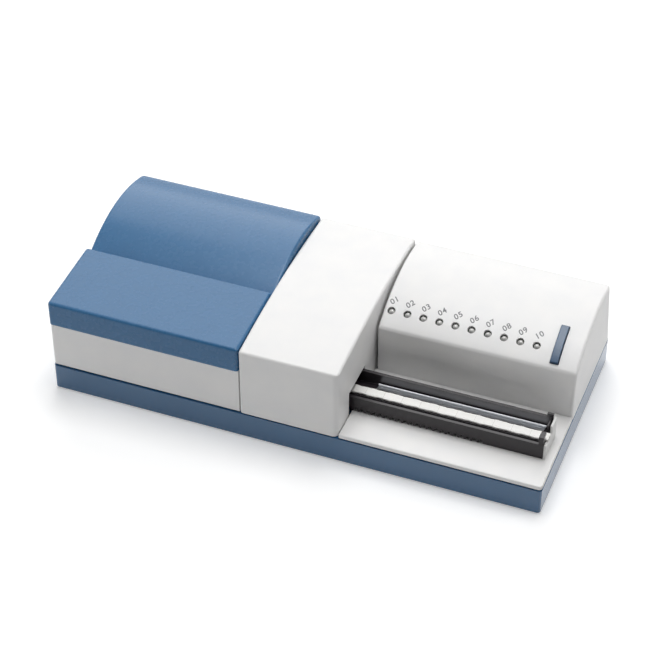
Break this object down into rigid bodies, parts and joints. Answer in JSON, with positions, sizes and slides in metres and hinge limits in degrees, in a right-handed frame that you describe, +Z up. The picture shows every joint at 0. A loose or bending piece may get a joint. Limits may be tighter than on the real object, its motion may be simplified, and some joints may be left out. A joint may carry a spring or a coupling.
{
  "type": "urine analyzer",
  "caption": "Benchtop urine test strip analyzer: white and blue case over a blue tray base, with a motor-driven strip tray, indicator panel, start button and paper printer under a hinged cover.",
  "frame": {"origin": "on the surface that the feet stand on, under the middle of the case", "axes": "+X to the right along the front, +Y to the back, +Z up"},
  "size_m": [0.314, 0.15, 0.077],
  "materials": {
    "white_plastic": "satin moulded white plastic",
    "blue_plastic": "satin steel-blue plastic",
    "base_plastic": "satin dark blue plastic",
    "button_plastic": "smooth blue plastic",
    "dark_plastic": "dark brown-black plastic",
    "strip_plastic": "white strip bed",
    "pale_plastic": "light grey plastic",
    "lamp_glass": "clear indicator body, unlit",
    "lens_glass": "clear lens",
    "steel": "bright steel",
    "brass": "machined brass",
    "aluminium": "machined aluminium",
    "rubber": "black rubber",
    "board": "green circuit board",
    "nylon": "natural nylon",
    "paper": "white thermal paper"
  },
  "bodies": {
    "case": {"base_tray": "base_plastic", "left_body": "white_plastic", "reader_housing": "white_plastic", "panel_housing": "white_plastic", "printer_cap": "blue_plastic", "hinge_pin_left": "steel", "hinge_pin_right": "steel", "start_switch": "dark_plastic", "panel_board": "board", "lamp_01": "lamp_glass", "lamp_02": "lamp_glass", "lamp_03": "lamp_glass", "lamp_04": "lamp_glass", "lamp_05": "lamp_glass", "lamp_06": "lamp_glass", "lamp_07": "lamp_glass", "lamp_08": "lamp_glass", "lamp_09": "lamp_glass", "lamp_10": "lamp_glass", "tray_motor": "steel", "tray_guide": "dark_plastic", "read_head": "dark_plastic", "read_lens": "lens_glass", "sensor_board": "board", "main_board": "board", "power_socket": "dark_plastic", "serial_socket": "steel", "switch_body": "dark_plastic", "printer_frame": "dark_plastic", "platen_bush_left": "brass", "platen_bush_right": "brass", "printer_motor": "steel", "thermal_head": "aluminium", "head_spring": "steel", "tear_blade": "steel", "screw_left_front": "steel", "screw_left_rear": "steel", "screw_reader_front": "steel", "screw_reader_rear": "steel", "screw_panel_front": "steel", "screw_panel_rear": "steel", "foot_front_left": "rubber", "foot_front_right": "rubber", "foot_rear_left": "rubber", "foot_rear_right": "rubber"},
    "tray": {"strip_tray": "dark_plastic", "strip_bed": "strip_plastic", "tray_end_plate": "pale_plastic", "strip_retainer": "steel"},
    "tray_drive": {"drive_pinion": "nylon", "drive_shaft": "steel"},
    "button": {"start_button": "button_plastic", "switch_plunger": "pale_plastic"},
    "cover": {"paper_cover": "blue_plastic"},
    "roll": {"paper_roll": "paper"},
    "platen": {"platen_roller": "rubber", "platen_shaft": "steel", "platen_gear": "nylon"},
    "printer_pinion": {"motor_pinion": "brass"},
    "rocker": {"power_rocker": "dark_plastic"}
  },
  "joints": [
    {"name": "tray_slide", "type": "slide", "parent": "case", "child": "tray", "axis": [1, 0, 0], "range_m": [-0.09, 0]},
    {"name": "drive_turn", "type": "hinge", "parent": "case", "child": "tray_drive", "pos_m": [0.018, -0.0508, 0.01465], "axis": [0, 1, 0], "range_deg": [-590, 0]},
    {"name": "button_press", "type": "slide", "parent": "case", "child": "button", "axis": [0, 0.415, -0.9098], "range_m": [0, 0.001], "stiffness_N_per_m": 400, "springref_m": -0.0005},
    {"name": "cover_hinge", "type": "hinge", "parent": "case", "child": "cover", "pos_m": [0, 0.06464, 0.0544], "axis": [-1, 0, 0], "range_deg": [0, 90]},
    {"name": "roll_turn", "type": "hinge", "parent": "case", "child": "roll", "pos_m": [-0.095, 0.023, 0.0512], "axis": [1, 0, 0], "continuous": true},
    {"name": "platen_turn", "type": "hinge", "parent": "case", "child": "platen", "pos_m": [-0.095, -0.0126, 0.0532], "axis": [1, 0, 0], "continuous": true},
    {"name": "pinion_turn", "type": "hinge", "parent": "case", "child": "printer_pinion", "pos_m": [-0.0614, -0.00751, 0.04362], "axis": [1, 0, 0], "continuous": true},
    {"name": "rocker_tilt", "type": "hinge", "parent": "case", "child": "rocker", "pos_m": [0.053, 0.0718, 0.0117], "axis": [0, 0, -1], "range_deg": [0, 16]}
  ],
  "couplings": [
    {"joint": "drive_turn", "follows": "tray_slide", "rad_per_m": 114.29},
    {"joint": "pinion_turn", "follows": "platen_turn", "ratio": -1.8182}
  ]
}
